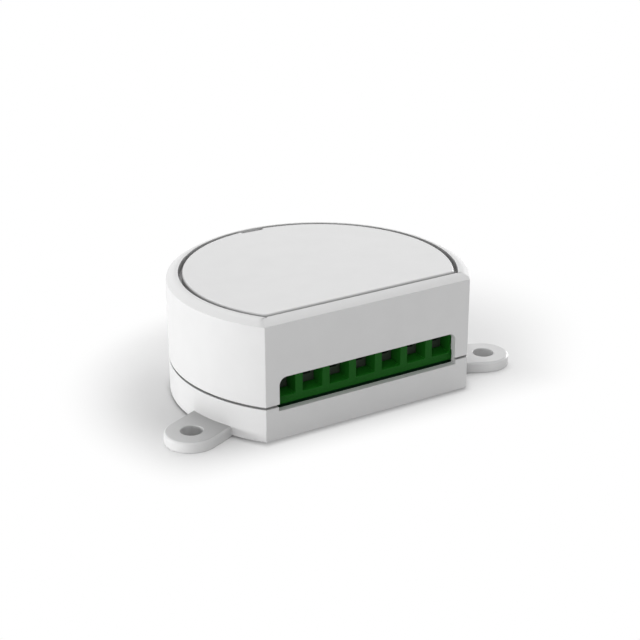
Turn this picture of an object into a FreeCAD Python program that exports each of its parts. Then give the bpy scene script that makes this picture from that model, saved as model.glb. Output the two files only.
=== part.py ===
import FreeCAD
import Part
import math
import os

from FreeCAD import Vector

# Lighting control unit for a flush box or a flat surface, in millimetres.
# +Z is up, -Y is the front with the wire terminals. The origin is the middle
# of the housing's footprint, on the surface that the unit rests on.

# Terminal block
pole_count = 7
pole_pitch = 5.08
block_cheek = 0.25            # extra wall at each end of the block
block_gap = 0.2               # from the housing's inner face to the block
block_floor = 0.75            # under the clamp chambers
mouth_depth = 2.5             # length of the funnel that guides the wire
mouth_width = 3.7
mouth_sill = 1.3              # height of the funnel's front sill above the board
mouth_climb = 0.3             # how far the funnel's floor rises towards the clamp
mouth_height = 4.6
mouth_taper = 0.1             # how far each side wall closes in
chamber_back_wall = 0.9
chamber_clearance = 0.1       # between a clamp and its chamber
shoulder = 0.8                # the ledge that a screw head sits on
head_well = 1.6               # depth of the well round a screw head
well_clearance = 0.15
groove = 0.3                  # width and depth of the grooves between the poles

# Rising clamp, its screw and its contact
cage_width = 3.5
cage_depth = 3.8
cage_wall = 0.6
cage_floor = 2.0              # the tall lower bar that shows at the back of the entry
cage_roof = 1.25
wire_room = 2.2               # free height for the wire under the contact
thread_pitch = 0.45
clamp_turns = 4.5             # from fully open to fully closed
contact_width = 2.0
contact_thickness = 0.7
leg_width = 1.0
leg_slot_clearance = 0.05
screw_core_radius = 1.0
thread_clearance = 0.05       # from a corner of the thread to the flats of its hole
thread_sides = 12
head_radius = 1.6
head_height = 1.5
slot_width = 0.6
slot_depth = 0.7
seat_gap = 0.05               # between faces that turn or slide on each other

# Circuit board
board_thickness = 1.6
board_clearance = 0.4         # to the housing's inner face
board_edge = 0.8              # from the board's edge to the pieces on it
block_overhang = 0.8          # the block stands out this far in front of the board
post_height = 2.5
lead_length = 1.4             # how far a lead stands out under the board
lead_width = 0.5
drill_clearance = 0.1

# Housing: a round case cut off by a straight front
front_reach = 16.2            # from the circle's centre to the front face
wall = 1.3
end_clearance = 1.04          # from the block's end to the inner corner
floor_thickness = 1.5
foot_lift = 0.35              # the side wall stops this far above the surface
foot_inset = 1.0
seam_height = 6.2             # middle of the shadow line between the shells
seam_gap = 0.42
lip_rise = 1.3                # how far the tray's lip enters the cover
skirt = 0.6                   # what is left of the cover's wall outside the lip
lip_clearance = 0.1
headroom = 0.3                # above the tallest inner piece
deck_thickness = 1.2          # plate of the cover under the lid
rim_bevel_in = 1.75
rim_bevel_down = 0.95
rim_land = 0.3                # flat top of the curved rim inside the bevel
rim_corner = 0.5

# Window for the wires
window_overlap = 0.88         # the frame hides this much of the block's ends
window_height = 5.7
window_corner = 1.3
ledge_drop = 0.95             # the tray's front is cut down below the seam
ledge_widening = 0.15

# Snap ridges between tray and cover
snap_count = 4
snap_span = 12.0              # degrees of arc
snap_height = 0.25
snap_spread = 60.0            # degrees from one ridge to the next

# Lid
lid_thickness = 1.65
lid_proud = 0.05              # the lid's top stands above the rim
lid_gap = 0.65
lid_edge = 0.25               # bevel along the lid's upper edge
lid_corner = 0.9
notch_width = 4.4
notch_depth = 0.9
tab_length = 3.0
tab_thickness = 1.2
tab_gap = 0.1                 # from a tab's end to the tallest inner piece
tab_clearance = 0.05
tab_inset = 4.0               # from the lid's edge to a tab's middle
rear_tab_angle = 58.0         # degrees from the X axis

# Mounting ears
ear_angle = 24.64             # degrees forward of the X axis
ear_hole_offset = 4.87        # from the side wall out to the hole's axis
ear_hole_radius = 1.85
ear_radius = 4.45
ear_thickness = 1.9
ear_edge = 0.3

# Board posts in the tray
post_width = 3.6
stake_width = 1.6
stake_clearance = 0.1
stake_rise = 0.8              # how far a stake stands above the board
post_edge = 2.3               # from the board's edge to a post's axis
post_block_gap = 0.3          # from the terminal block to a front stake
rear_post_angle = 60.0        # degrees from the X axis

# Relays
relay_length = 17.6
relay_width = 10.1
relay_height = 12.3
relay_edge = 0.4
relay_spacing = 1.0
relay_pin_pitch_x = 14.4
relay_pin_pitch_y = 5.0
row_gap = 0.8                 # between the rows of tall pieces

# Mains supply pieces
core_width = 9.0
core_depth = 9.4
core_height = 8.0
core_leg = 1.6
core_post = 2.8
bobbin_height = 1.6
bobbin_margin = 0.5
winding_gap = 0.3
winding_corner = 1.2
core_lead_inset = 1.0         # from the foot's front and rear to its leads
core_shift = 1.0              # moves the rear row to the right of the middle
supply_clearance = 1.0        # between neighbours in the rear row
input_capacitor_radius = 4.0
input_capacitor_height = 11.5
input_lead_half = 1.75        # half the distance between its leads
output_capacitor_radius = 2.5
output_capacitor_height = 11.0
output_lead_half = 1.0
can_edge = 0.5
fuse_radius = 3.4
fuse_height = 7.0
fuse_lead_half = 1.9
disc_radius = 3.6
disc_thickness = 3.2
disc_lift = 1.0
film_length = 7.4
film_thickness = 3.4
film_height = 8.5
side_lead_half = 2.5          # for the disc and for the film capacitor
side_clearance = 0.9          # between a relay's end and the piece beside it
side_gap = 0.4                # from a front stake to the piece behind it

# Radio board, standing on edge at the back
radio_width = 15.0
radio_height = 10.5
radio_thickness = 0.8
radio_inset = 3.9             # from the main board's rear edge
shield_width = 9.5
shield_height = 6.5
shield_depth = 1.8
shield_lift = 1.2
shield_edge = 0.3
header_pin = 0.6
header_count = 6
header_pitch = 2.0
header_height = 2.0

# Programming button, status light and chips
switch_size = 6.0
switch_height = 3.5
switch_bearing = 1.4          # length of the stem's guide
stem_radius = 1.25
stem_clearance = 0.05
stem_edge = 0.25
stem_recess = 0.7             # the stem's tip stays this far below the deck
stem_hole_radius = 1.7
press_travel = 0.25
press_spare = 0.05
led_length = 2.0
led_width = 1.3
led_height = 0.8
guide_radius = 1.1
guide_clearance = 0.05
guide_flange_half = 1.6
guide_flange = 0.6
guide_gap = 0.1
chip_height = 1.1
chip_width = 2.6
chip_length = 4.0

# Slot in the deck over the screw heads, and the rib that holds the block down
driver_slot_width = 3.8
driver_slot_end = 0.4         # how far it stops short of the block's end
hold_down_thickness = 1.0

# Levels and places worked out from the sizes above
clamp_travel = thread_pitch * clamp_turns
board_low = floor_thickness + post_height
board_top = board_low + board_thickness
chamber_low = board_top + block_floor
cage_low = chamber_low + chamber_clearance
wire_low = cage_low + cage_floor
contact_low = wire_low + wire_room
contact_top = contact_low + contact_thickness
cage_window_top = contact_top + chamber_clearance
cage_top = cage_window_top + cage_roof
chamber_top = cage_top + clamp_travel + chamber_clearance
head_seat = chamber_top + shoulder
block_top = head_seat + head_well
tallest = max(relay_height, input_capacitor_height, block_top - board_top)
deck_low = board_top + tallest + headroom
deck_top = deck_low + deck_thickness
total_height = deck_top + lid_thickness
rim_top = total_height - lid_proud
tab_reach = deck_thickness + headroom - tab_gap
seam_low = seam_height - seam_gap / 2
seam_high = seam_height + seam_gap / 2
lip_top = seam_height + lip_rise
ledge = seam_height - ledge_drop
window_top = ledge + window_height

block_half = pole_count * pole_pitch / 2 + block_cheek
block_depth = (
    mouth_depth + cage_depth + 2 * chamber_clearance + contact_thickness + chamber_back_wall
)

# Places across the board, with Y measured from the circle's centre
block_back_reach = front_reach - wall - block_gap - block_depth
post_front_reach = block_back_reach - stake_width / 2 - post_block_gap
side_row = stake_width / 2 + side_gap + film_length / 2 - post_front_reach
rear_row = row_gap + relay_width + row_gap - block_back_reach
relay_x = (relay_length + relay_spacing) / 2
side_x = relay_x + relay_length / 2 + side_clearance
disc_x = -(side_x + disc_thickness / 2)
film_x = side_x + film_thickness / 2
core_half = core_width / 2 + bobbin_margin
core_x = -(core_half + supply_clearance + core_shift)
core_back = rear_row + core_depth + 2 * bobbin_margin
input_capacitor_x = core_x + core_half + supply_clearance + input_capacitor_radius
output_capacitor_x = input_capacitor_x + input_capacitor_radius + supply_clearance + output_capacitor_radius
fuse_x = core_x - core_half - supply_clearance - fuse_radius
switch_x = output_capacitor_x + output_capacitor_radius + supply_clearance + switch_size / 2
driver_x = core_x - core_half - supply_clearance - chip_width / 2
driver_back = rear_row + 2 * fuse_radius + supply_clearance + chip_width
processor_back = rear_row + 2 * input_capacitor_radius + supply_clearance / 2 + chip_width
radio_back = max(core_back + shield_depth, processor_back) + supply_clearance + radio_thickness

# The board is as large as the block and the pieces on it need
side_reach = math.hypot(side_x + film_thickness, side_row + film_length / 2)
disc_reach = math.hypot(side_x + disc_thickness, side_row + disc_radius)
switch_reach = math.hypot(switch_x + switch_size / 2, rear_row + switch_size)
fuse_reach = math.hypot(fuse_x, rear_row + fuse_radius) + fuse_radius
driver_reach = math.hypot(driver_x - chip_width / 2, driver_back)
rows_reach = max(side_reach, disc_reach, switch_reach, fuse_reach, driver_reach) + board_edge
block_reach = math.hypot(block_half + end_clearance, front_reach - wall)
radio_reach = radio_back - radio_thickness / 2 + radio_inset
inner_radius = max(block_reach, rows_reach + board_clearance, radio_reach + board_clearance)
body_radius = inner_radius + wall
front_y = -(body_radius + front_reach) / 2
centre_y = front_y + front_reach
block_front = front_y + wall + block_gap
chamber_front = block_front + mouth_depth
cage_front = chamber_front + chamber_clearance
cage_back = cage_front + cage_depth
leg_front = cage_back + chamber_clearance
chamber_back = leg_front + contact_thickness
block_back = block_front + block_depth
screw_y = (cage_front + cage_back) / 2
chamber_width = cage_width + 2 * chamber_clearance
window_half = block_half - window_overlap
rim_radius = body_radius - rim_bevel_in - rim_land
rim_front = front_reach - rim_bevel_in
lid_radius = rim_radius - lid_gap
lid_front = rim_front - lid_gap
board_radius = inner_radius - board_clearance
board_front = front_reach - wall - block_gap - block_overhang
relay_y = block_back + row_gap + relay_width / 2
post_front_y = centre_y - post_front_reach
side_y = centre_y + side_row
rear_y = centre_y + rear_row
core_y = rear_y + bobbin_margin + core_depth / 2
input_capacitor_y = rear_y + input_capacitor_radius
output_capacitor_y = rear_y + output_capacitor_radius
fuse_y = rear_y + fuse_radius
switch_y = rear_y + switch_size / 2
guide_x = output_capacitor_x + guide_flange_half
guide_y = output_capacitor_y + output_capacitor_radius + supply_clearance + guide_flange_half
radio_y = centre_y + board_radius - radio_inset


def pole_x(pole):
    """Middle of one pole, counted from the left."""
    return (pole - (pole_count - 1) / 2) * pole_pitch


def box(x_low, x_high, y_low, y_high, z_low, z_high):
    corner = Vector(x_low, y_low, z_low)
    return Part.makeBox(x_high - x_low, y_high - y_low, z_high - z_low, corner)


def block_at(x, y, length, width, z_low, z_high):
    """A box centred on x and y."""
    return box(x - length / 2, x + length / 2, y - width / 2, y + width / 2, z_low, z_high)


def cylinder(x, y, radius, z_low, z_high):
    return Part.makeCylinder(radius, z_high - z_low, Vector(x, y, z_low))


def thread(x, y, radius, z_low, z_high):
    """A small thread or its hole as an upright rod with flat sides; radius is to the corners."""
    corners = []
    for side in range(thread_sides):
        angle = 2 * math.pi * side / thread_sides
        corners.append(Vector(x + radius * math.cos(angle), y + radius * math.sin(angle), z_low))
    return prism(corners, Vector(0, 0, z_high - z_low))


def prism(points, direction):
    """Extrude a closed outline of points."""
    wire = Part.makePolygon(points + [points[0]])
    return Part.Face(wire).extrude(direction)


def round_case(radius, reach, z_low, z_high):
    """The housing's plan shape: a cylinder cut off by a flat front."""
    front = box(-radius, radius, centre_y - reach, centre_y + radius, z_low, z_high)
    return cylinder(0, centre_y, radius, z_low, z_high).common(front)


def bevelled_case(radius, reach, z_low, z_high, bevel_in, bevel_down):
    """The same shape, with its upper edge bevelled on the curve and on the front."""
    shoulder_z = z_high - bevel_down
    drum = cylinder(0, centre_y, radius, z_low, shoulder_z)
    cone = Part.makeCone(radius, radius - bevel_in, bevel_down, Vector(0, centre_y, shoulder_z))
    front = centre_y - reach
    back = centre_y + radius
    side = [
        Vector(-radius, front, z_low),
        Vector(-radius, back, z_low),
        Vector(-radius, back, z_high),
        Vector(-radius, front + bevel_in, z_high),
        Vector(-radius, front, shoulder_z),
    ]
    return drum.fuse(cone).common(prism(side, Vector(2 * radius, 0, 0))).removeSplitter()


def upright_edges(shape):
    """Straight edges that run along Z."""
    chosen = []
    for edge in shape.Edges:
        tangent = edge.tangentAt(edge.FirstParameter)
        if isinstance(edge.Curve, Part.Line) and abs(tangent.z) > 0.999:
            chosen.append(edge)
    return chosen


def level_edges(shape, z):
    """Edges that lie flat at height z."""
    return [
        edge
        for edge in shape.Edges
        if abs(edge.BoundBox.ZMin - z) < 1e-4 and abs(edge.BoundBox.ZMax - z) < 1e-4
    ]


def plate_case(radius, reach, z_low, z_high, corner):
    """A flat piece of the housing's plan shape with rounded corners."""
    plate = round_case(radius, reach, z_low, z_high)
    return plate.makeFillet(corner, upright_edges(plate))


def ring_section(angle, span, points):
    """Turn a radial outline round the housing's axis, centred on an angle."""
    outline = [Vector(radius, centre_y, z) for radius, z in points]
    face = Part.Face(Part.makePolygon(outline + [outline[0]]))
    axis_point = Vector(0, centre_y, 0)
    upward = Vector(0, 0, 1)
    solid = face.revolve(axis_point, upward, span)
    solid.rotate(axis_point, upward, angle - span / 2)
    return solid


def snap_angles():
    """Directions of the snap ridges, spread evenly about the rear."""
    return [90 + (index - (snap_count - 1) / 2) * snap_spread for index in range(snap_count)]


def snap_ridge(extra):
    """One ridge on the lip's outer face for each angle, larger by a clearance."""
    face_radius = body_radius - skirt - lip_clearance
    middle = (seam_high + lip_top) / 2
    half = snap_height + extra
    points = [
        (face_radius - half, middle - 2 * half),
        (face_radius + half, middle),
        (face_radius - half, middle + 2 * half),
    ]
    span = snap_span + math.degrees(2 * extra / face_radius)
    return [ring_section(angle, span, points) for angle in snap_angles()]


def ear_axis_distance():
    """From the footprint's middle to an ear's hole, along the ear's axis."""
    angle = math.radians(ear_angle)
    reach = body_radius + ear_hole_offset
    across = centre_y * math.cos(angle)
    return -centre_y * math.sin(angle) + math.sqrt(reach ** 2 - across ** 2)


def ear(side):
    """A flat ear that points outwards and forwards; side is -1 or 1."""
    far = ear_axis_distance()
    near = far - ear_hole_offset - ear_radius
    bar = box(near, far, -ear_radius, ear_radius, 0, ear_thickness)
    blank = bar.fuse(cylinder(far, 0, ear_radius, 0, ear_thickness)).removeSplitter()
    edges = [edge for edge in level_edges(blank, ear_thickness) if edge.BoundBox.XMax > near + 1e-3]
    blank = blank.makeChamfer(ear_edge, edges)
    blank = blank.cut(cylinder(far, 0, ear_hole_radius, 0, ear_thickness))
    blank.rotate(Vector(0, 0, 0), Vector(0, 0, 1), -ear_angle)
    if side < 0:
        blank = blank.mirror(Vector(0, 0, 0), Vector(1, 0, 0))
    return blank


def post_places():
    """Two posts beside the terminal block and two at the rear."""
    reach = board_radius - post_edge
    front = post_front_y
    side = math.sqrt(reach ** 2 - (front - centre_y) ** 2)
    angle = math.radians(rear_post_angle)
    x = reach * math.cos(angle)
    y = centre_y + reach * math.sin(angle)
    return [(-side, front), (side, front), (-x, y), (x, y)]


def make_base_tray():
    shell = round_case(body_radius, front_reach, foot_lift, seam_low)
    foot = round_case(body_radius - foot_inset, front_reach - foot_inset, 0, foot_lift)
    lip_radius = body_radius - skirt - lip_clearance
    lip = round_case(lip_radius, front_reach - skirt - lip_clearance, seam_low, lip_top)
    tray = shell.fuse([foot, lip, ear(-1), ear(1)] + snap_ridge(0))
    tray = tray.cut(round_case(inner_radius, front_reach - wall, floor_thickness, lip_top))
    for x, y in post_places():
        tray = tray.fuse(block_at(x, y, post_width, post_width, floor_thickness, board_low))
        tray = tray.fuse(block_at(x, y, stake_width, stake_width, board_low, board_top + stake_rise))
    half = window_half + ledge_widening
    opening = box(-half, half, front_y, front_y + wall, ledge, lip_top)
    return tray.cut(opening).removeSplitter()


def make_window_cut():
    """The wire window, rounded at its upper corners and open to the seam below."""
    cut = box(-window_half, window_half, front_y, front_y + wall, seam_high, window_top)
    upper = []
    for edge in cut.Edges:
        box_of_edge = edge.BoundBox
        along_y = box_of_edge.YLength > wall / 2
        if along_y and abs(box_of_edge.ZMin - window_top) < 1e-4:
            upper.append(edge)
    return cut.makeFillet(window_corner, upper)


def make_upper_cover():
    outer = bevelled_case(
        body_radius, front_reach, seam_high, rim_top, rim_bevel_in, rim_bevel_down
    )
    recess = plate_case(rim_radius, rim_front, deck_top, rim_top, rim_corner)
    hollow = round_case(inner_radius, front_reach - wall, seam_high, deck_low)
    rebate = round_case(body_radius - skirt, front_reach - skirt, seam_high, lip_top)
    cover = outer.cut([recess, hollow, rebate, make_window_cut()] + snap_ridge(lip_clearance))
    rib_y = block_back - hold_down_thickness
    rib = box(-window_half, window_half, rib_y, block_back, block_top + seat_gap, deck_low)
    cover = cover.fuse(rib)
    slot_long = 2 * (block_half - driver_slot_end)
    holes = [block_at(0, screw_y, slot_long, driver_slot_width, deck_low, deck_top)]
    for x, y in tab_places():
        length = tab_length + 2 * tab_clearance
        thickness = tab_thickness + 2 * tab_clearance
        holes.append(block_at(x, y, length, thickness, deck_low, deck_top))
    holes.append(cylinder(switch_x, switch_y, stem_hole_radius, deck_low, deck_top))
    holes.append(cylinder(guide_x, guide_y, guide_radius + guide_clearance, deck_low, deck_top))
    return cover.cut(holes).removeSplitter()


def tab_places():
    """Four tabs under the lid: two near the front corners and two at the rear."""
    front = block_back + tab_length
    reach = lid_radius - tab_inset
    side = math.sqrt(reach ** 2 - (front - centre_y) ** 2)
    angle = math.radians(rear_tab_angle)
    x = reach * math.cos(angle)
    y = centre_y + reach * math.sin(angle)
    return [(-side, front), (side, front), (-x, y), (x, y)]


def make_top_lid():
    plate = plate_case(lid_radius, lid_front, deck_top, total_height, lid_corner)
    plate = plate.makeChamfer(lid_edge, level_edges(plate, total_height))
    back = centre_y + lid_radius
    notch = box(
        -notch_width / 2, notch_width / 2, back - notch_depth, back, deck_top, total_height
    )
    plate = plate.cut(notch)
    for x, y in tab_places():
        tab = block_at(x, y, tab_length, tab_thickness, deck_top - tab_reach, deck_top)
        plate = plate.fuse(tab)
    return plate


def make_circuit_board():
    board = round_case(board_radius, board_front, board_low, board_top)
    leg_y = (leg_front + chamber_back) / 2
    slot_length = leg_width + 2 * drill_clearance
    slot_across = contact_thickness + 2 * drill_clearance
    hole_width = lead_width + 2 * drill_clearance
    holes = []
    for pole in range(pole_count):
        holes.append(block_at(pole_x(pole), leg_y, slot_length, slot_across, board_low, board_top))
    for x, y in post_places():
        stake_hole = stake_width + 2 * stake_clearance
        holes.append(block_at(x, y, stake_hole, stake_hole, board_low, board_top))
    for x, y in lead_places():
        holes.append(block_at(x, y, hole_width, hole_width, board_low, board_top))
    return board.cut(holes)


def relay_leads(side):
    """Four pins under a relay."""
    half_x = relay_pin_pitch_x / 2
    half_y = relay_pin_pitch_y / 2
    return [
        (side * relay_x + sign_x * half_x, relay_y + sign_y * half_y)
        for sign_x in (-1, 1)
        for sign_y in (-1, 1)
    ]


def twin_leads(x, y, half_pitch, along_x):
    """Two leads, side by side along X or along Y."""
    if along_x:
        return [(x - half_pitch, y), (x + half_pitch, y)]
    return [(x, y - half_pitch), (x, y + half_pitch)]


def core_leads():
    half_x = core_width / 2
    half_y = core_depth / 2 - core_lead_inset
    return [(core_x + a * half_x, core_y + b * half_y) for a in (-1, 1) for b in (-1, 1)]


def lead_places():
    """Every lead that passes through the board, apart from the terminal legs."""
    places = relay_leads(-1) + relay_leads(1) + core_leads()
    places += twin_leads(input_capacitor_x, input_capacitor_y, input_lead_half, True)
    places += twin_leads(output_capacitor_x, output_capacitor_y, output_lead_half, True)
    places += twin_leads(fuse_x, fuse_y, fuse_lead_half, True)
    places += twin_leads(disc_x, side_y, side_lead_half, False)
    places += twin_leads(film_x, side_y, side_lead_half, False)
    return places


def leads(places, top):
    """Square leads from a piece's underside to below the board."""
    low = board_low - lead_length
    return [block_at(x, y, lead_width, lead_width, low, top) for x, y in places]


def rectangle(x, half_width, y, z_low, z_high):
    """Corners of an upright rectangle that faces along Y."""
    return [
        Vector(x - half_width, y, z_low),
        Vector(x + half_width, y, z_low),
        Vector(x + half_width, y, z_high),
        Vector(x - half_width, y, z_high),
    ]


def flat_face(points):
    return Part.Face(Part.makePolygon(points + [points[0]]))


def funnel(pole):
    """The tapering mouth in front of one clamp."""
    outer_low = board_top + mouth_sill
    outer_high = outer_low + mouth_height
    outer_half = mouth_width / 2
    inner_half = outer_half - mouth_taper
    middle = pole_x(pole)
    front = rectangle(middle, outer_half, block_front, outer_low, outer_high)
    inner_low = outer_low + mouth_climb
    back = rectangle(middle, inner_half, chamber_front, inner_low, outer_high - mouth_taper)
    faces = [flat_face(front), flat_face(back)]
    for side in range(4):
        after = (side + 1) % 4
        faces.append(flat_face([front[side], front[after], back[after], back[side]]))
    solid = Part.Solid(Part.Shell(faces))
    if solid.Volume < 0:
        solid.reverse()
    return solid


def make_terminal_body():
    body = box(-block_half, block_half, block_front, block_back, board_top, block_top)
    cuts = []
    for pole in range(pole_count):
        x = pole_x(pole)
        half = chamber_width / 2
        cuts.append(funnel(pole))
        cuts.append(box(x - half, x + half, chamber_front, chamber_back, chamber_low, chamber_top))
        passage = 2 * (screw_core_radius + well_clearance)
        cuts.append(block_at(x, screw_y, passage, passage, chamber_top, head_seat))
        cuts.append(cylinder(x, screw_y, head_radius + well_clearance, head_seat, block_top))
        slot_half = leg_width / 2 + leg_slot_clearance
        cuts.append(box(x - slot_half, x + slot_half, leg_front, chamber_back, board_top, chamber_low))
    groove_low = block_top - groove
    for pole in range(1, pole_count):
        x = pole_x(pole) - pole_pitch / 2
        cuts.append(block_at(x, (block_front + block_back) / 2, groove, block_depth, groove_low, block_top))
    return body.cut(cuts)


def make_contact(pole):
    """A tin-plated strip: flat under the screw, then down through the board."""
    x = pole_x(pole)
    half = contact_width / 2
    tab = box(x - half, x + half, cage_front, chamber_back, contact_low, contact_top)
    leg_half = leg_width / 2
    leg = box(x - leg_half, x + leg_half, leg_front, chamber_back, board_low - lead_length, contact_low)
    return tab.fuse(leg).removeSplitter()


def make_terminal_screw(pole):
    x = pole_x(pole)
    head_low = head_seat + seat_gap
    head_high = head_low + head_height
    head = cylinder(x, screw_y, head_radius, head_low, head_high)
    shank = thread(x, screw_y, screw_core_radius, contact_top + seat_gap, head_low)
    slot = block_at(x, screw_y, slot_width, 2 * head_radius, head_high - slot_depth, head_high)
    return head.fuse(shank).cut(slot)


def make_terminal_cage(pole):
    """A clamp that climbs the screw and lifts the wire against the contact."""
    x = pole_x(pole)
    half = cage_width / 2
    frame = box(x - half, x + half, cage_front, cage_back, cage_low, cage_top)
    inside = half - cage_wall
    window = box(x - inside, x + inside, cage_front, cage_back, wire_low, cage_window_top)
    hole_radius = (screw_core_radius + thread_clearance) / math.cos(math.pi / thread_sides)
    return frame.cut([window, thread(x, screw_y, hole_radius, cage_window_top, cage_top)])


def make_relay(side):
    case = block_at(
        side * relay_x, relay_y, relay_length, relay_width, board_top, board_top + relay_height
    )
    top_edges = level_edges(case, board_top + relay_height)
    return case.makeChamfer(relay_edge, top_edges + upright_edges(case))


def make_relay_pins():
    pins = leads(relay_leads(-1) + relay_leads(1), board_top)
    return Part.makeCompound(pins)


def make_transformer_bobbin():
    """The coil former's foot, with the coil wound round the core's middle post."""
    foot = block_at(
        core_x, core_y, core_width + 2 * bobbin_margin, core_depth + 2 * bobbin_margin,
        board_top, board_top + bobbin_height,
    )
    coil_low = board_top + bobbin_height + core_leg
    coil_high = board_top + bobbin_height + core_height - core_leg
    coil_depth = core_depth - 2 * core_leg - 2 * winding_gap
    coil = block_at(core_x, core_y, core_width, coil_depth, coil_low, coil_high)
    coil = coil.makeFillet(winding_corner, upright_edges(coil))
    post = block_at(
        core_x, core_y, core_post, core_post, board_top + bobbin_height, coil_high + core_leg
    )
    return foot, coil.cut(post)


def make_transformer_core():
    """Two E-shaped halves that close round the coil."""
    low = board_top + bobbin_height
    high = low + core_height
    block = block_at(core_x, core_y, core_width - 2 * bobbin_margin, core_depth, low, high)
    window_low = low + core_leg
    window_high = high - core_leg
    gap = core_depth / 2 - core_leg
    half_post = core_post / 2
    cuts = []
    for side in (-1, 1):
        near = core_y + side * half_post
        far = core_y + side * gap
        cuts.append(box(
            core_x - core_width, core_x + core_width,
            min(near, far), max(near, far), window_low, window_high,
        ))
    core = block.cut(cuts)
    for side in (-1, 1):
        flank = core_x + side * (core_post / 2 + core_width)
        core = core.cut(block_at(flank, core_y, 2 * core_width, core_post, window_low, window_high))
    return core


def make_can(x, y, radius, height, half_pitch):
    """An upright electrolytic can with a bevelled top and two leads."""
    can = cylinder(x, y, radius, board_top, board_top + height)
    can = can.makeChamfer(can_edge, level_edges(can, board_top + height))
    return can.fuse(leads(twin_leads(x, y, half_pitch, True), board_top))


def make_fuse():
    body = cylinder(fuse_x, fuse_y, fuse_radius, board_top, board_top + fuse_height)
    return body.fuse(leads(twin_leads(fuse_x, fuse_y, fuse_lead_half, True), board_top))


def make_varistor():
    """A round disc that stands on its two leads."""
    middle = board_top + disc_lift + disc_radius
    disc = Part.makeCylinder(
        disc_radius, disc_thickness, Vector(disc_x - disc_thickness / 2, side_y, middle), Vector(1, 0, 0)
    )
    return disc.fuse(leads(twin_leads(disc_x, side_y, side_lead_half, False), middle))


def make_film_capacitor():
    case = block_at(film_x, side_y, film_thickness, film_length, board_top, board_top + film_height)
    case = case.makeChamfer(relay_edge, level_edges(case, board_top + film_height))
    return case.fuse(leads(twin_leads(film_x, side_y, side_lead_half, False), board_top))


def make_radio_board():
    half = radio_thickness / 2
    return box(
        -radio_width / 2, radio_width / 2, radio_y - half, radio_y + half,
        board_top, board_top + radio_height,
    )


def make_radio_shield():
    back = radio_y - radio_thickness / 2
    low = board_top + shield_lift
    can = box(-shield_width / 2, shield_width / 2, back - shield_depth, back, low, low + shield_height)
    outer = [edge for edge in can.Edges if edge.BoundBox.YMax < back - 1e-3]
    return can.makeChamfer(shield_edge, outer)


def make_radio_pins():
    """A row of bent pins that ties the radio board to the main board."""
    pins = []
    front = radio_y + radio_thickness / 2
    for index in range(header_count):
        x = (index - (header_count - 1) / 2) * header_pitch
        half = header_pin / 2
        top = board_top + header_height
        pins.append(box(x - half, x + half, front, front + header_pin, board_top, top))
    return Part.makeCompound(pins)


def make_switch_body():
    top = board_top + switch_height
    body = block_at(switch_x, switch_y, switch_size, switch_size, board_top, top)
    return body.cut(
        cylinder(switch_x, switch_y, stem_radius + stem_clearance, top - switch_bearing, top)
    )


def make_switch_stem():
    low = board_top + switch_height - switch_bearing + press_travel + press_spare
    stem = cylinder(switch_x, switch_y, stem_radius, low, deck_top - stem_recess)
    return stem.makeChamfer(stem_edge, level_edges(stem, deck_top - stem_recess))


def make_status_led():
    return block_at(guide_x, guide_y, led_length, led_width, board_top, board_top + led_height)


def make_light_guide():
    rod = cylinder(guide_x, guide_y, guide_radius, board_top + led_height + guide_gap, deck_top)
    width = 2 * guide_flange_half
    flange = block_at(guide_x, guide_y, width, width, deck_low - guide_flange, deck_low)
    return rod.fuse(flange).removeSplitter()


def make_surface_chips():
    """Two low surface-mounted parts, one behind the fuse and one behind the large capacitor."""
    driver_y = centre_y + driver_back - chip_width / 2
    driver = block_at(
        driver_x, driver_y, chip_width, chip_width, board_top, board_top + chip_height
    )
    processor_y = centre_y + processor_back - chip_width / 2
    processor = block_at(
        input_capacitor_x, processor_y, chip_length, chip_width, board_top, board_top + chip_height
    )
    return Part.makeCompound([driver, processor])


nodes = {
    "base_tray": make_base_tray(),
    "upper_cover": make_upper_cover(),
    "top_lid": make_top_lid(),
    "circuit_board": make_circuit_board(),
    "terminal_body": make_terminal_body(),
    "terminal_contacts": Part.makeCompound([make_contact(pole) for pole in range(pole_count)]),
    "relay_left": make_relay(-1),
    "relay_right": make_relay(1),
    "relay_pins": make_relay_pins(),
    "transformer_core": make_transformer_core(),
    "input_capacitor": make_can(
        input_capacitor_x, input_capacitor_y, input_capacitor_radius, input_capacitor_height,
        input_lead_half,
    ),
    "output_capacitor": make_can(
        output_capacitor_x, output_capacitor_y, output_capacitor_radius, output_capacitor_height,
        output_lead_half,
    ),
    "fuse": make_fuse(),
    "varistor": make_varistor(),
    "film_capacitor": make_film_capacitor(),
    "radio_board": make_radio_board(),
    "radio_shield": make_radio_shield(),
    "radio_pins": make_radio_pins(),
    "switch_body": make_switch_body(),
    "switch_stem": make_switch_stem(),
    "status_led": make_status_led(),
    "light_guide": make_light_guide(),
    "surface_chips": make_surface_chips(),
}
nodes["transformer_foot"], nodes["transformer_coil"] = make_transformer_bobbin()
for number in range(pole_count):
    nodes["terminal_screw_%d" % (number + 1)] = make_terminal_screw(number)
    nodes["terminal_cage_%d" % (number + 1)] = make_terminal_cage(number)

os.makedirs("parts", exist_ok=True)
for name, shape in nodes.items():
    shape.exportStep("parts/%s.step" % name)
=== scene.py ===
import math

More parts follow.
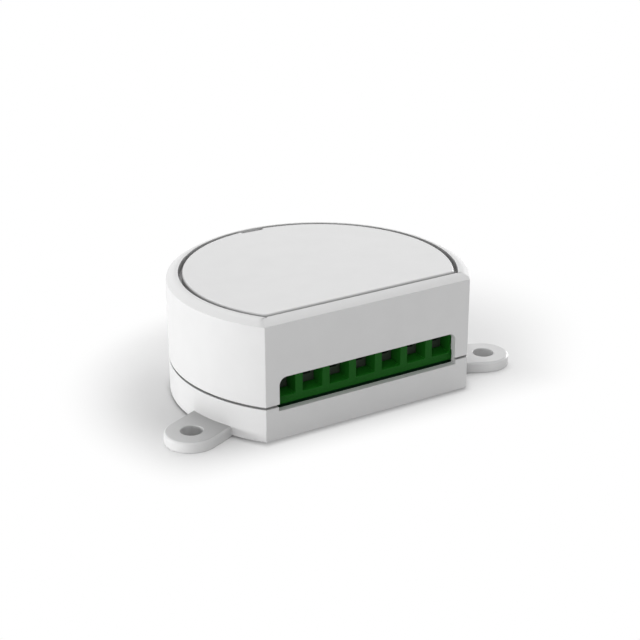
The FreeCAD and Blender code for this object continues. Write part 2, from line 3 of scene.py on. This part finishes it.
import bmesh
import bpy
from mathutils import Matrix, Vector


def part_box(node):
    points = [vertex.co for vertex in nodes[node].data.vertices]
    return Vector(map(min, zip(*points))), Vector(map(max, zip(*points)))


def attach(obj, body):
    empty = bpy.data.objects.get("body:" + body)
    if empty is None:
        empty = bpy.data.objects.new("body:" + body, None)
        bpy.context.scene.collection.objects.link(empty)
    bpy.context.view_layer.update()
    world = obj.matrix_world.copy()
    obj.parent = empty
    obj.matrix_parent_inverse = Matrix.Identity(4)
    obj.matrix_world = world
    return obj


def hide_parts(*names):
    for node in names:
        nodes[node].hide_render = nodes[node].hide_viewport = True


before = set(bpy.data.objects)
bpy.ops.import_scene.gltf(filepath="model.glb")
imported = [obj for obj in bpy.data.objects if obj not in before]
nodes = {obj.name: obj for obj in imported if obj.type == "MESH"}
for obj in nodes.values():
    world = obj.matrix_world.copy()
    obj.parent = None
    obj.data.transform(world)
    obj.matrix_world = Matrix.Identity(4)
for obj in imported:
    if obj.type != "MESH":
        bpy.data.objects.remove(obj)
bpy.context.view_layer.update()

# The lighting control unit, dressed and lit as in the photograph. Lengths are in metres.
mm = 0.001
poles = range(1, 8)           # numbers of the terminals, from left to right

# Viewing angle of the photograph, solved from the housing's edges
camera_azimuth = -31.95
camera_elevation = 22.35
camera_distance = 258.82 * mm
camera_target = Vector((0.40, -4.65, 11.36)) * mm
camera_roll = -0.08
photo_width = 640
focal_pixels = 1517.67
sensor_width = 36.0
clip_near = 10 * mm
clip_far = 50

# Colours, as linear values
shell_white = (0.78, 0.78, 0.78)
block_green = (0.008, 0.098, 0.008)

# Finish of every surface
tint_spread = 0.03            # how far the colour wanders each way
gloss_spread = 0.1            # how far the roughness wanders each way
patch_size = 4 * mm
patch_detail = 3.0
grain_size = 0.12 * mm
grain_detail = 2.0
grain_height = 0.004 * mm
noise_low = 0.3               # nearly all of the noise lies between these two
noise_high = 0.7
stripe_half = 0.9 * mm        # half the width of the band on a can's sleeve

# Painted shade and painted light on some faces, whose tone follows the photograph, as shares of their
# piece's own colour
# painted shade on the ears' upper faces
ear_painted_shade = 0.79
ear_level = 2.0 * mm          # just above the ears' upper faces
# painted light on the ledge under the window
ledge_painted_light = 1.15
ledge_inset = 0.73 * mm       # from the block's end to the ledge's end
ledge_depth = 0.5 * mm        # how far the ledge reaches behind the block's front
# painted light on the sloping floors of the wire entries
entry_painted_light = 2.2
upper_facing = 0.75           # the least Z of an upper face's normal
entry_facing = 0.5            # the same for the sloping floors of the entries
block_low, block_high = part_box("terminal_body")
ledge_half = block_high[0] - ledge_inset
ledge_back = block_low[1] + ledge_depth
entry_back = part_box("terminal_cage_1")[0][1]

# Shade between faces that stand close together: how near they are, and how much it takes away
crevice_reach = 0.65 * mm     # seams and gaps
crevice_depth = 0.95
crevice_clear = 0.6           # a face as open as this keeps its full colour
corner_reach = 6.0 * mm       # the tray's wall and its ears
corner_depth = 0.55
groove_reach = 1.2 * mm       # the groove between the rim and the lid
groove_depth = 0.60
groove_drop = 2.5 * mm        # from the lid's top down to where the groove's shade ends
groove_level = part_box("top_lid")[1][2] - groove_drop
shade_samples = 8

# Widths of softened edges
shell_edge = 0.10 * mm
block_edge = 0.07 * mm
case_edge = 0.12 * mm
small_edge = 0.08 * mm
clamp_edge = 0.06 * mm
chip_edge = 0.05 * mm
edge_steps = 3                # faces across a softened edge
chip_edge_steps = 2
sharp_angle = 32              # degrees between two faces from which their edge is softened
flat_angle = 0.3              # degrees within which two faces count as one
join_distance = 0.001 * mm    # points of a CAD mesh as near as this become one,
weld_distance = 0.0001 * mm   # and of a new mesh as near as this

# Turned forms
turned_sides = 48             # the heads of the screws and the sleeves of the cans
top_sides = 96                # the scored tops of the cans

# Clamp screws
thread_pitch = 0.45 * mm
thread_radius = 1.0 * mm
thread_depth = 0.22 * mm
thread_rows = 6               # rings of points in each turn of the thread
thread_sides = 24
head_height = 1.5 * mm
head_steps = 20               # steps round each half of a head
slot_depth = 0.7 * mm
slot_width = 0.6 * mm
screw_edge = 0.15 * mm

# Electrolytic cans
input_lead_half = 1.75 * mm   # half the distance between a can's leads
output_lead_half = 1.0 * mm
lead_half_width = 0.25 * mm
crimp_share = 0.18            # height of the crimp, as a share of the can's height
sleeve_curve = 0.4 * mm       # height of the sleeve's curves at its foot and beside the crimp
score_depth = 0.12 * mm
score_half = 0.04             # half the width of a score, as a share of a quarter turn

# Small parts on the board: half the length, half the width and the height
chip_body = (0.5 * mm, 0.4 * mm, 0.48 * mm)
chip_tips = (0.8 * mm, 0.41 * mm, 0.46 * mm)
rear_chip_step = 1.5 * mm
side_chip_step = 1.3 * mm

# Antenna track on the radio board
track_width = 0.35 * mm
track_height = 0.05 * mm
track_step = 1.1 * mm
track_side = 1.2 * mm         # from each end of the board
track_edge = 0.4 * mm         # from the board's top edge
track_lift = 0.5 * mm         # above the shield

# Floor and light
world_fill = 0.40
floor_radius = 3.0
floor_sides = 96
floor_white = 0.80
case_low, case_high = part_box("upper_cover")
case_radius = (case_high[0] - case_low[0]) / 2
case_front = case_low[1]
case_centre = (0, case_high[1] - case_radius, 0)
fade_width = 17.5 * mm        # the floor turns white over this distance,
side_delay = 2 * mm           # starting this far outside the curved side
front_lead = 9 * mm           # and this far behind the flat front,
front_tilt = 0.03             # a little sooner on the left of the front
fade_ease = 8 * mm            # how softly the fades beside and in front meet
right_start = 28 * mm         # further right than this the floor turns white later,
right_slope = 0.5             # by half of each further millimetre
rear_slope = 0.22             # and by this much of each millimetre towards the rear
delay_ease = 10 * mm          # how softly that delay sets in
contact_reach = 1.2 * mm      # this near the case the floor shows more of its own shade,
contact_white = 0.55          # with only this share of the white right beside the case


# Materials

def add_node(tree, kind, inputs=None, **settings):
    """A shader node; its inputs are plain values or other nodes' outputs."""
    node = tree.nodes.new(kind)
    for name, value in settings.items():
        setattr(node, name, value)
    for key, value in (inputs or {}).items():
        if isinstance(value, bpy.types.NodeSocket):
            tree.links.new(value, node.inputs[key])
        else:
            node.inputs[key].default_value = value
    return node


def calculate(tree, operation, *values):
    """The result of one operation on numbers or other nodes' outputs."""
    return add_node(tree, "ShaderNodeMath", dict(enumerate(values)), operation=operation).outputs[0]


def ramp(tree, value, start, end, low, high, kind="LINEAR"):
    """A value between start and end, turned into one between low and high."""
    inputs = {"Value": value, "From Min": start, "From Max": end, "To Min": low, "To Max": high}
    return add_node(tree, "ShaderNodeMapRange", inputs, interpolation_type=kind).outputs["Result"]


def axes(tree, kind, output):
    """The X, Y and Z outputs of a vector that a node gives."""
    vector = add_node(tree, kind).outputs[output]
    return add_node(tree, "ShaderNodeSeparateXYZ", {0: vector}).outputs


def toned(colour, share):
    """A colour times a share, for a colour socket."""
    return [channel * share for channel in colour] + [1]


def object_noise(tree, size, detail, stretch=(1, 1, 1)):
    """Noise whose grains are about that size, fixed to the object."""
    place = add_node(tree, "ShaderNodeTexCoord").outputs["Object"]
    shape = add_node(tree, "ShaderNodeMapping", {"Vector": place, "Scale": stretch}).outputs["Vector"]
    noise = add_node(tree, "ShaderNodeTexNoise", {"Vector": shape, "Scale": 1 / size, "Detail": detail})
    return noise.outputs["Fac"]


def surface(name, colour, roughness, metallic=0.0, specular=0.5, stretch=(1, 1, 1)):
    """A finish with faint uneven colour, uneven gloss and a fine grain."""
    material = bpy.data.materials.new(name)
    material.use_nodes = True
    tree = material.node_tree
    shader = tree.nodes["Principled BSDF"]
    shader.inputs["Base Color"].default_value = (*colour, 1)
    shader.inputs["Roughness"].default_value = roughness
    shader.inputs["Metallic"].default_value = metallic
    shader.inputs["Specular IOR Level"].default_value = specular
    tint = add_node(tree, "ShaderNodeMix", {
        "Factor": object_noise(tree, patch_size, patch_detail),
        "A": toned(colour, 1 - tint_spread),
        "B": toned(colour, 1 + tint_spread),
    }, data_type="RGBA")
    grain = object_noise(tree, grain_size, grain_detail, stretch)
    smoother = roughness * (1 - gloss_spread)
    rougher = roughness * (1 + gloss_spread)
    gloss = ramp(tree, grain, noise_low, noise_high, smoother, rougher)
    bump = add_node(tree, "ShaderNodeBump", {"Height": grain, "Strength": 1.0, "Distance": grain_height})
    tree.links.new(tint.outputs["Result"], shader.inputs["Base Color"])
    tree.links.new(gloss, shader.inputs["Roughness"])
    tree.links.new(bump.outputs["Normal"], shader.inputs["Normal"])
    return material


def overlay(material, mask, colour):
    """Another colour over a material's own where the mask is 1."""
    tree = material.node_tree
    base = tree.nodes["Principled BSDF"].inputs["Base Color"]
    inputs = {"Factor": mask, "A": base.links[0].from_socket, "B": colour}
    mix = add_node(tree, "ShaderNodeMix", inputs, data_type="RGBA")
    tree.links.new(mix.outputs["Result"], base)


def shade_gaps(material, reach, depth, clear=1.0, own=False, above=None):
    """Darken a material where other faces, or only the piece's own, stand within that reach.

    With a level given, only what lies above it is darkened.
    """
    tree = material.node_tree
    base = tree.nodes["Principled BSDF"].inputs["Base Color"]
    near = add_node(tree, "ShaderNodeAmbientOcclusion", {"Distance": reach},
                    samples=shade_samples, only_local=own)
    tone = ramp(tree, near.outputs["AO"], 0, clear, 1 - depth, 1)
    inputs = {0: base.links[0].from_socket, "Scale": tone}
    darker = add_node(tree, "ShaderNodeVectorMath", inputs, operation="SCALE").outputs[0]
    if above is None:
        tree.links.new(darker, base)
    else:
        height = axes(tree, "ShaderNodeTexCoord", "Object")["Z"]
        overlay(material, calculate(tree, "GREATER_THAN", height, above), darker)


def all_true(tree, *tests):
    """1 where every test holds, otherwise 0. A test is a number, an operation and a limit."""
    result = 1
    for number, operation, limit in tests:
        result = calculate(tree, "MULTIPLY", result, calculate(tree, operation, number, limit))
    return result


def add_stripe(material, colour):
    """A pale band down the +X side of an upright can."""
    tree = material.node_tree
    place = axes(tree, "ShaderNodeTexCoord", "Object")
    aside = calculate(tree, "ABSOLUTE", place["Y"])
    mask = all_true(tree, (aside, "LESS_THAN", stripe_half), (place["X"], "GREATER_THAN", 0))
    overlay(material, mask, colour)


def paint_shade_on_ears(material):
    """Painted shade that makes the ears' upper faces greyer than the walls, as in the photograph."""
    tree = material.node_tree
    height = axes(tree, "ShaderNodeTexCoord", "Object")["Z"]
    facing = axes(tree, "ShaderNodeNewGeometry", "Normal")["Z"]
    mask = all_true(tree, (height, "LESS_THAN", ear_level), (facing, "GREATER_THAN", upper_facing))
    overlay(material, mask, toned(shell_white, ear_painted_shade))


def paint_light_on_ledge(material):
    """Painted light that makes the ledge under the window nearly as light as the front face, as in the
    photograph.
    """
    tree = material.node_tree
    place = axes(tree, "ShaderNodeTexCoord", "Object")
    facing = axes(tree, "ShaderNodeNewGeometry", "Normal")["Z"]
    mask = all_true(
        tree,
        (calculate(tree, "ABSOLUTE", place["X"]), "LESS_THAN", ledge_half),
        (place["Y"], "LESS_THAN", ledge_back),
        (place["Z"], "GREATER_THAN", ear_level),
        (facing, "GREATER_THAN", upper_facing),
    )
    overlay(material, mask, toned(shell_white, ledge_painted_light))


def paint_light_on_entry_floors(material):
    """Painted light that makes the floors of the wire entries lighter than the block's front, as in the
    photograph.
    """
    tree = material.node_tree
    depth = axes(tree, "ShaderNodeTexCoord", "Object")["Y"]
    facing = axes(tree, "ShaderNodeNewGeometry", "Normal")["Z"]
    mask = all_true(tree, (depth, "LESS_THAN", entry_back), (facing, "GREATER_THAN", entry_facing))
    overlay(material, mask, toned(block_green, entry_painted_light))


def paint(material, *names):
    """Give CAD nodes a material."""
    for name in names:
        for entry in nodes[name].material_slots:
            entry.material = material


# The shells share one plastic, and the tray's copy has painted shade on the ears and painted light on the
# ledge
white = surface("shell_plastic", shell_white, 0.42)
shade_gaps(white, crevice_reach, crevice_depth, crevice_clear)
tray_painted_shade_and_light = white.copy()
tray_painted_shade_and_light.name = "tray_plastic_painted_shade_and_light"
paint_shade_on_ears(tray_painted_shade_and_light)
shade_gaps(tray_painted_shade_and_light, corner_reach, corner_depth, own=True)
paint_light_on_ledge(tray_painted_shade_and_light)
shade_gaps(white, groove_reach, groove_depth, above=groove_level)
green = surface("block_plastic", block_green, 0.45, specular=0.1)
paint_light_on_entry_floors(green)

solder_mask = surface("solder_mask", (0.010, 0.060, 0.022), 0.30)
nickel = surface("nickel", (0.50, 0.49, 0.47), 0.34, metallic=1.0, stretch=(1, 6, 1))
# Dark, green-tinted nickel for the clamp cages: painted shade and a painted reflection of the green block
nickel_painted_shade_and_reflection = surface("nickel_painted_shade_and_reflection", (0.045, 0.062, 0.042), 0.60, metallic=0.35)
tin = surface("tin", (0.60, 0.60, 0.58), 0.38, metallic=1.0)
black = surface("moulded_black", (0.018, 0.018, 0.020), 0.42)
ferrite = surface("ferrite", (0.035, 0.035, 0.038), 0.55)
tape = surface("tape", (0.62, 0.42, 0.03), 0.30)
sleeve = surface("sleeve", (0.010, 0.012, 0.020), 0.25)
add_stripe(sleeve, (0.55, 0.56, 0.58, 1))
aluminium = surface("aluminium", (0.62, 0.62, 0.63), 0.36, metallic=1.0)
ceramic = surface("ceramic", (0.26, 0.17, 0.10), 0.50)
gold = surface("gold", (0.78, 0.56, 0.24), 0.32, metallic=1.0)
brown = surface("fuse_case", (0.045, 0.022, 0.012), 0.40)
blue = surface("resin_blue", (0.015, 0.060, 0.240), 0.28)
grey = surface("film_case", (0.20, 0.21, 0.22), 0.45)
radio = surface("radio_mask", (0.006, 0.030, 0.090), 0.30)
stem = surface("stem_plastic", (0.45, 0.45, 0.44), 0.40)
milky = surface("led_resin", (0.75, 0.74, 0.62), 0.30)
clear = surface("clear_rod", (0.95, 0.97, 0.97), 0.08)
clear.node_tree.nodes["Principled BSDF"].inputs["Transmission Weight"].default_value = 1.0

paint(tray_painted_shade_and_light, "base_tray")
paint(white, "upper_cover", "top_lid")
paint(green, "terminal_body")
paint(solder_mask, "circuit_board")
paint(tin, "terminal_contacts", "relay_pins", "radio_pins")
for number in poles:
    paint(nickel, "terminal_screw_%d" % number)
    paint(nickel_painted_shade_and_reflection, "terminal_cage_%d" % number)
paint(black, "relay_left", "relay_right", "transformer_foot", "switch_body", "surface_chips")
paint(ferrite, "transformer_core")
paint(tape, "transformer_coil")
paint(sleeve, "input_capacitor", "output_capacitor")
paint(brown, "fuse")
paint(blue, "varistor")
paint(grey, "film_capacitor")
paint(radio, "radio_board")
paint(nickel, "radio_shield")
paint(stem, "switch_stem")
paint(milky, "status_led")
paint(clear, "light_guide")


# Softened edges on CAD nodes

def joined_smooth():
    """Nodes that join a CAD mesh's split corners and shade it smooth."""
    group = bpy.data.node_groups.new("joined_smooth", "GeometryNodeTree")
    group.interface.new_socket("Geometry", in_out="INPUT", socket_type="NodeSocketGeometry")
    group.interface.new_socket("Geometry", in_out="OUTPUT", socket_type="NodeSocketGeometry")
    enter = group.nodes.new("NodeGroupInput")
    merge = group.nodes.new("GeometryNodeMergeByDistance")
    merge.inputs["Distance"].default_value = join_distance
    smooth = group.nodes.new("GeometryNodeSetShadeSmooth")
    leave = group.nodes.new("NodeGroupOutput")
    group.links.new(enter.outputs["Geometry"], merge.inputs["Geometry"])
    group.links.new(merge.outputs["Geometry"], smooth.inputs["Geometry"])
    group.links.new(smooth.outputs["Geometry"], leave.inputs["Geometry"])
    return group


smooth_group = joined_smooth()


def soften(width, *names, merge_flat=True):
    """Round the sharp edges of CAD nodes with modifiers."""
    for name in names:
        part = nodes[name]
        part.modifiers.new("joined", "NODES").node_group = smooth_group
        if merge_flat:
            planar = part.modifiers.new("planar", "DECIMATE")
            planar.decimate_type = "DISSOLVE"
            planar.angle_limit = math.radians(flat_angle)
        bevel = part.modifiers.new("soft_edges", "BEVEL")
        bevel.width = width
        bevel.segments = edge_steps
        bevel.limit_method = "ANGLE"
        bevel.angle_limit = math.radians(sharp_angle)
        bevel.use_clamp_overlap = False
        bevel.harden_normals = False
        part.modifiers.new("even_shading", "WEIGHTED_NORMAL").keep_sharp = False


soften(shell_edge, "base_tray", "upper_cover", "top_lid")
soften(block_edge, "terminal_body", merge_flat=False)
soften(case_edge, "relay_left", "relay_right", "transformer_coil", "transformer_foot", "film_capacitor")
soften(small_edge, "transformer_core", "switch_body", "switch_stem", "radio_shield", "status_led", "fuse")
for number in poles:
    soften(clamp_edge, "terminal_cage_%d" % number)


# Details of the inner pieces

def make_mesh(name, form, material):
    """A mesh from points and polygons, with its faces turned outwards."""
    points, polygons = form
    mesh = bpy.data.meshes.new(name)
    mesh.from_pydata(points, [], polygons)
    mesh.materials.append(material)
    work = bmesh.new()
    work.from_mesh(mesh)
    bmesh.ops.remove_doubles(work, verts=work.verts, dist=weld_distance)
    bmesh.ops.recalc_face_normals(work, faces=work.faces)
    work.to_mesh(mesh)
    work.free()
    return mesh


def place_piece(name, mesh, body, place=(0, 0, 0), replaced=()):
    """A new piece of the object that rides on a body and may stand for CAD nodes."""
    piece = bpy.data.objects.new(name, mesh)
    piece.location = place
    bpy.context.scene.collection.objects.link(piece)
    bpy.context.view_layer.update()
    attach(piece, body)
    for node in replaced:
        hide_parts(node)
    return piece


def place_inside(name, form, material, place=(0, 0, 0), replaced=()):
    """A new piece of that form inside the housing."""
    return place_piece(name, make_mesh(name, form, material), "housing", place, replaced)


def join_forms(forms):
    """Points and polygons of several forms, as one."""
    points = []
    polygons = []
    for more_points, more_polygons in forms:
        first = len(points)
        points += more_points
        polygons += [[first + corner for corner in polygon] for polygon in more_polygons]
    return points, polygons


def bar(low, high):
    """A rectangular bar between two opposite corners."""
    points = [(x, y, z) for x in (low[0], high[0]) for y in (low[1], high[1]) for z in (low[2], high[2])]
    polygons = [(0, 1, 3, 2), (4, 6, 7, 5), (0, 4, 5, 1), (2, 3, 7, 6), (0, 2, 6, 4), (1, 5, 7, 3)]
    return points, polygons


def ring_of_faces(first, sides):
    """Faces between a ring of points, which starts at that number, and the next ring."""
    faces = []
    for step in range(sides):
        low = first + step
        after = first + (step + 1) % sides
        faces.append((low, after, sides + after, sides + low))
    return faces


def turned(profile, sides=turned_sides, rise=None):
    """A turned form from (radius, height) points; rise lifts each point by its radius and angle."""
    points = []
    polygons = []
    for row, (radius, height) in enumerate(profile):
        for step in range(sides):
            angle = 2 * math.pi * step / sides
            lift = rise(radius, angle) if rise else 0
            points.append((radius * math.cos(angle), radius * math.sin(angle), height + lift))
        if row:
            polygons += ring_of_faces((row - 1) * sides, sides)
    return points, polygons


def round_edges(piece, width):
    """Round a new piece's sharp edges and shade it smooth."""
    bevel = piece.modifiers.new("soft_edges", "BEVEL")
    bevel.width = width
    bevel.segments = chip_edge_steps
    bevel.limit_method = "ANGLE"
    piece.modifiers.new("even_shading", "WEIGHTED_NORMAL").keep_sharp = False
    for polygon in piece.data.polygons:
        polygon.use_smooth = True


def half_head(side, radius, floor, top):
    """One half of a screw's head above the floor of its slot, with a bevelled upper edge."""
    start = math.asin(slot_width / 2 / radius)
    points = []
    for ring, height in ((radius, floor), (radius, top - screw_edge), (radius - screw_edge, top)):
        for step in range(head_steps + 1):
            angle = start + (math.pi - 2 * start) * step / head_steps
            across = slot_width / 2 if step in (0, head_steps) else ring * math.sin(angle)
            points.append((side * across, -side * ring * math.cos(angle), height))
    count = head_steps + 1
    polygons = [tuple(range(count)), tuple(range(2 * count, 3 * count))]
    polygons += ring_of_faces(0, count) + ring_of_faces(count, count)
    return points, polygons


def screw_thread(low, top):
    """The threaded shank, as rings whose radius follows a right-handed thread."""
    rows = int(thread_rows * (top - low) / thread_pitch)
    sides = thread_sides
    points = [(0, 0, low)]
    polygons = [(0, 1 + (step + 1) % sides, 1 + step) for step in range(sides)]
    for row in range(rows + 1):
        height = low + (top - low) * row / rows
        for step in range(sides):
            phase = (height / thread_pitch - step / sides) % 1
            radius = thread_radius - thread_depth * abs(2 * phase - 1)
            angle = 2 * math.pi * step / sides
            points.append((radius * math.cos(angle), radius * math.sin(angle), height))
        if row:
            polygons += ring_of_faces(1 + (row - 1) * sides, sides)
    polygons.append(tuple(range(len(points) - sides, len(points))))
    return points, polygons


def make_screws():
    """Slotted screws with a real thread, which stand for the plain CAD ones."""
    low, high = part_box("terminal_screw_1")
    radius = (high[0] - low[0]) / 2
    head_low = high[2] - head_height
    slot_floor = high[2] - slot_depth
    disc = turned([
        (0, head_low), (radius - screw_edge, head_low), (radius, head_low + screw_edge),
        (radius, slot_floor), (0, slot_floor),
    ])
    forms = [screw_thread(low[2], head_low), disc]
    forms += [half_head(side, radius, slot_floor, high[2]) for side in (-1, 1)]
    mesh = make_mesh("slotted_screw", join_forms(forms), nickel)
    for number in poles:
        node = "terminal_screw_%d" % number
        low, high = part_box(node)
        place = ((low[0] + high[0]) / 2, (low[1] + high[1]) / 2, 0)
        place_piece("slotted_screw_%d" % number, mesh, "screw_%d" % number, place, [node])


def score(distance, angle):
    """The cross scored into a can's top, as a lift at that distance and angle."""
    beside = abs((angle / (math.pi / 2) + 0.5) % 1 - 0.5)
    return -score_depth if beside < score_half and distance > 0 else 0


def make_can(node, lead_half):
    """An electrolytic can: a crimped sleeve over a bare top with a scored cross, and its leads."""
    low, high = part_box(node)
    radius = (high[1] - low[1]) / 2
    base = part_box("circuit_board")[1][2]
    top = high[2]
    crimp = base + crimp_share * (top - base)
    wrap = turned([
        (0, base), (0.9 * radius, base), (radius, base + sleeve_curve), (radius, crimp - sleeve_curve),
        (0.93 * radius, crimp), (radius, crimp + sleeve_curve), (radius, top - 0.6 * mm),
        (0.96 * radius, top - 0.15 * mm), (0.88 * radius, top), (0.76 * radius, top - 0.05 * mm),
        (0.74 * radius, top - 0.2 * mm), (0, top - 0.3 * mm),
    ])
    leads = [
        bar((x - lead_half_width, -lead_half_width, low[2]), (x + lead_half_width, lead_half_width, base))
        for x in (-lead_half, lead_half)
    ]
    plate_low = top - 0.28 * mm
    plate_high = top - 0.12 * mm
    cover = turned([
        (0, plate_low), (0.75 * radius, plate_low), (0.75 * radius, top - 0.2 * mm),
        (0.7 * radius, plate_high), (0.3 * radius, plate_high), (0, plate_high - score_depth),
    ], top_sides, score)
    place = ((low[0] + high[0]) / 2, (low[1] + high[1]) / 2, 0)
    place_inside(node + "_sleeve", join_forms([wrap] + leads), sleeve, place, [node])
    place_inside(node + "_top", cover, aluminium, place)


def make_small_parts():
    """Surface-mounted resistors and capacitors on the board, each with two tinned ends."""
    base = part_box("circuit_board")[1][2]
    spots = [(0.2 * mm + rear_chip_step * index, 12.2 * mm, True) for index in range(5)]
    spots += [(-7.4 * mm + rear_chip_step * index, 12.6 * mm, True) for index in range(4)]
    spots += [(14.6 * mm, 8.2 * mm + side_chip_step * index, False) for index in range(3)]
    spots += [(17.2 * mm, 8.2 * mm, False), (-17.4 * mm, 9.6 * mm, True)]
    bodies = []
    tips = []
    for x, y, along_y in spots:
        for (half, half_width, height), bars in ((chip_body, bodies), (chip_tips, tips)):
            wide, deep = (half_width, half) if along_y else (half, half_width)
            bars.append(bar((x - wide, y - deep, base), (x + wide, y + deep, base + height)))
    round_edges(place_inside("chip_middles", join_forms(bodies), ceramic), chip_edge)
    round_edges(place_inside("chip_ends", join_forms(tips), tin), chip_edge)


def make_antenna():
    """The folded track on the upper part of the radio board."""
    low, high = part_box("radio_board")
    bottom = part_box("radio_shield")[1][2] + track_lift
    top = high[2] - track_edge
    front = low[1] - track_height
    count = int((high[0] - low[0] - 2 * track_side) / track_step)
    bars = []
    for index in range(count + 1):
        x = low[0] + track_side + index * track_step
        bars.append(bar((x, front, bottom), (x + track_width, low[1], top)))
        if index < count:
            level = top if index % 2 == 0 else bottom + track_width
            bars.append(bar((x + track_width, front, level - track_width), (x + track_step, low[1], level)))
    place_inside("antenna_track", join_forms(bars), gold)


make_screws()
make_can("input_capacitor", input_lead_half)
make_can("output_capacitor", output_lead_half)
make_small_parts()
make_antenna()


# Floor, light and camera

def light_path_white(tree):
    """True for rays that should see plain white: from the camera, in gloss or through glass."""
    rays = add_node(tree, "ShaderNodeLightPath").outputs
    direct = calculate(tree, "MAXIMUM", rays["Is Camera Ray"], rays["Is Glossy Ray"])
    return calculate(tree, "MAXIMUM", direct, rays["Is Transmission Ray"])


def make_world():
    """Even light all round, with plain white behind the object."""
    world = bpy.data.worlds.new("studio")
    bpy.context.scene.world = world
    world.use_nodes = True
    tree = world.node_tree
    tree.nodes.clear()
    fill = add_node(tree, "ShaderNodeBackground", {"Color": (1, 1, 1, 1), "Strength": world_fill})
    plain = add_node(tree, "ShaderNodeBackground", {"Color": (1, 1, 1, 1), "Strength": 1.0})
    inputs = {"Fac": light_path_white(tree), 1: fill.outputs[0], 2: plain.outputs[0]}
    mix = add_node(tree, "ShaderNodeMixShader", inputs)
    add_node(tree, "ShaderNodeOutputWorld", {"Surface": mix.outputs[0]})


def measure(tree, operation, vector):
    """The floor point's distance from a point, or its dot product with a direction."""
    place = add_node(tree, "ShaderNodeTexCoord").outputs["Object"]
    inputs = {0: place, 1: vector}
    return add_node(tree, "ShaderNodeVectorMath", inputs, operation=operation).outputs["Value"]


def outline_distance(tree, beside, ahead, tilt, ease):
    """How far a point of the floor lies outside a line round the case."""
    outside = calculate(tree, "SUBTRACT", measure(tree, "DISTANCE", case_centre), case_radius + beside)
    before = calculate(tree, "ADD", measure(tree, "DOT_PRODUCT", (-tilt, -1, 0)), case_front - ahead)
    return calculate(tree, "SMOOTH_MAX", outside, before, ease)


def right_delay(tree):
    """How much later the floor turns white to the right of the case and behind it."""
    along = measure(tree, "DOT_PRODUCT", (right_slope, rear_slope, 0))
    beyond = calculate(tree, "SUBTRACT", along, right_slope * right_start)
    return calculate(tree, "SMOOTH_MAX", beyond, 0, delay_ease)


def make_floor():
    """A pale floor that fades to plain white away from the object."""
    bpy.ops.mesh.primitive_circle_add(
        vertices=floor_sides, radius=floor_radius, fill_type="NGON", location=(0, 0, 0),
    )
    floor = bpy.context.object
    floor.name = "floor"
    material = bpy.data.materials.new("floor")
    material.use_nodes = True
    tree = material.node_tree
    tree.nodes.clear()
    line = outline_distance(tree, side_delay, -front_lead, front_tilt, fade_ease)
    late = calculate(tree, "SUBTRACT", line, right_delay(tree))
    fade = ramp(tree, late, 0, fade_width, 0, 1, "SMOOTHSTEP")
    beside = outline_distance(tree, 0, 0, 0, 0)
    contact = ramp(tree, beside, 0, contact_reach, contact_white, 1, "SMOOTHSTEP")
    away = calculate(tree, "MULTIPLY", fade, contact)
    seen = calculate(tree, "MULTIPLY", away, light_path_white(tree))
    pale = (floor_white, floor_white, floor_white, 1)
    diffuse = add_node(tree, "ShaderNodeBsdfDiffuse", {"Color": pale})
    glow = add_node(tree, "ShaderNodeEmission", {"Color": (1, 1, 1, 1), "Strength": 1.0})
    mix = add_node(tree, "ShaderNodeMixShader", {"Fac": seen, 1: diffuse.outputs[0], 2: glow.outputs[0]})
    add_node(tree, "ShaderNodeOutputMaterial", {"Surface": mix.outputs[0]})
    floor.data.materials.append(material)


def area_lamp(name, place, width, height, power):
    """A soft lamp aimed at the object."""
    data = bpy.data.lights.new(name, "AREA")
    data.shape = "RECTANGLE"
    data.size = width
    data.size_y = height
    data.energy = power
    lamp = bpy.data.objects.new(name, data)
    lamp.location = place
    lamp.rotation_euler = (camera_target - Vector(place)).to_track_quat("-Z", "Y").to_euler()
    bpy.context.scene.collection.objects.link(lamp)


def make_camera():
    """The camera at the photograph's viewing angle."""
    azimuth = math.radians(camera_azimuth)
    elevation = math.radians(camera_elevation)
    back = Vector((
        math.sin(azimuth) * math.cos(elevation),
        -math.cos(azimuth) * math.cos(elevation),
        math.sin(elevation),
    ))
    data = bpy.data.cameras.new("camera")
    data.sensor_width = sensor_width
    data.lens = focal_pixels / photo_width * sensor_width
    data.clip_start = clip_near
    data.clip_end = clip_far
    camera = bpy.data.objects.new("camera", data)
    camera.location = camera_target + back * camera_distance
    camera.rotation_euler = back.to_track_quat("Z", "Y").to_euler()
    camera.rotation_euler.rotate_axis("Z", math.radians(camera_roll))
    bpy.context.scene.collection.objects.link(camera)
    bpy.context.scene.camera = camera


make_world()
make_floor()
# Each lamp's place, width and height in metres, and its power in watts
area_lamp("overhead", (0.18, 0.23, 0.45), 0.50, 0.50, 1.6)
area_lamp("left_front", (-0.58, -0.36, 0.06), 0.50, 0.12, 1.1)
area_lamp("left_back", (-0.64, 0.24, 0.05), 0.35, 0.10, 2.1)
area_lamp("right_back", (0.66, 0.24, 0.06), 0.30, 0.12, 1.8)
make_camera()
bpy.context.scene.view_settings.view_transform = "Standard"
